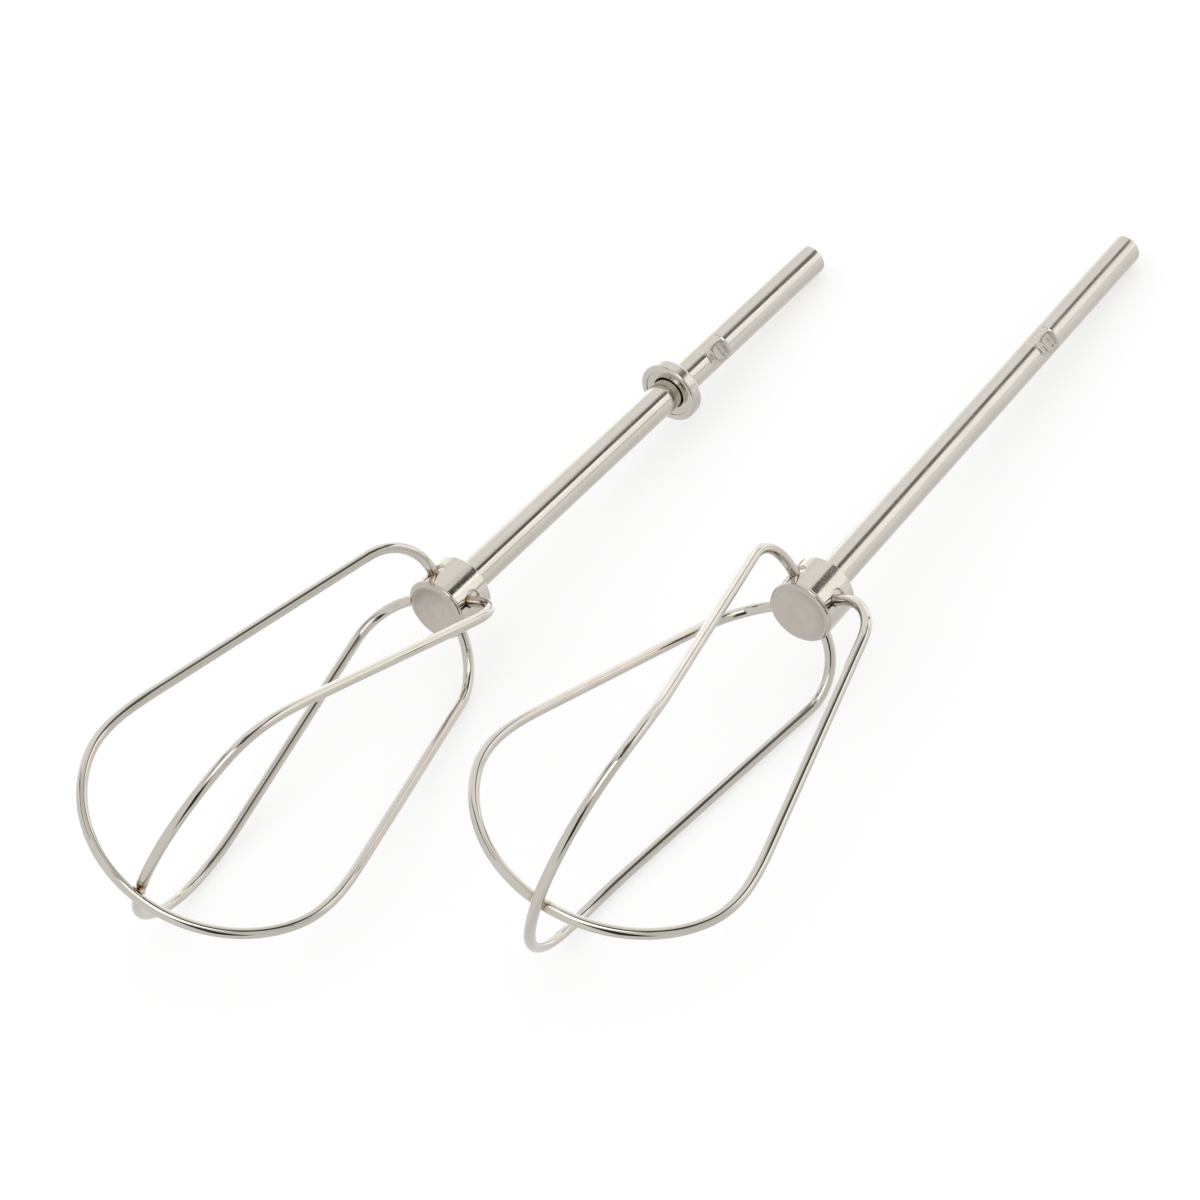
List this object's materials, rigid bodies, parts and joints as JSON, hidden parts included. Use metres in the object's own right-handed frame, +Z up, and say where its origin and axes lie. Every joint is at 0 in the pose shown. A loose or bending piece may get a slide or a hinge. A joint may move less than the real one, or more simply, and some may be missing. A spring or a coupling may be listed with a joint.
{
  "type": "hand mixer beaters",
  "caption": "Loose wire beaters for a hand mixer: twisted loops crossing at the tip, staked into a round hub on a straight drive shaft, one with a collar.",
  "frame": {"origin": "centre of the overall box, on the plane that both beaters lie on", "axes": "+Z up; +Y from the tips of the wire cages towards the free ends of the shafts; +X from the beater with the collar to the plain one"},
  "size_m": [0.1158, 0.219, 0.0457],
  "materials": {
    "shaft_steel": "bright nickel-plated steel rod with fine lengthwise polishing marks",
    "hub_steel": "bright nickel-plated steel with turning marks and brown tint at the wire slots",
    "cap_steel": "satin nickel-plated steel disc with a polished rim",
    "wire_steel": "polished bright stainless wire",
    "collar_steel": "nickel-plated turned steel ring"
  },
  "bodies": {
    "left_beater": {"left_shaft": "shaft_steel", "left_hub": "hub_steel", "left_hub_cap": "cap_steel", "left_outer_wire": "wire_steel", "left_inner_wire": "wire_steel", "left_collar": "collar_steel"},
    "right_beater": {"right_shaft": "shaft_steel", "right_hub": "hub_steel", "right_hub_cap": "cap_steel", "right_outer_wire": "wire_steel", "right_inner_wire": "wire_steel"}
  },
  "joints": [
    {"name": "right_beater_lift", "type": "slide", "parent": "left_beater", "child": "right_beater", "axis": [0, 0, 1], "range_m": [0, 0.08]}
  ]
}
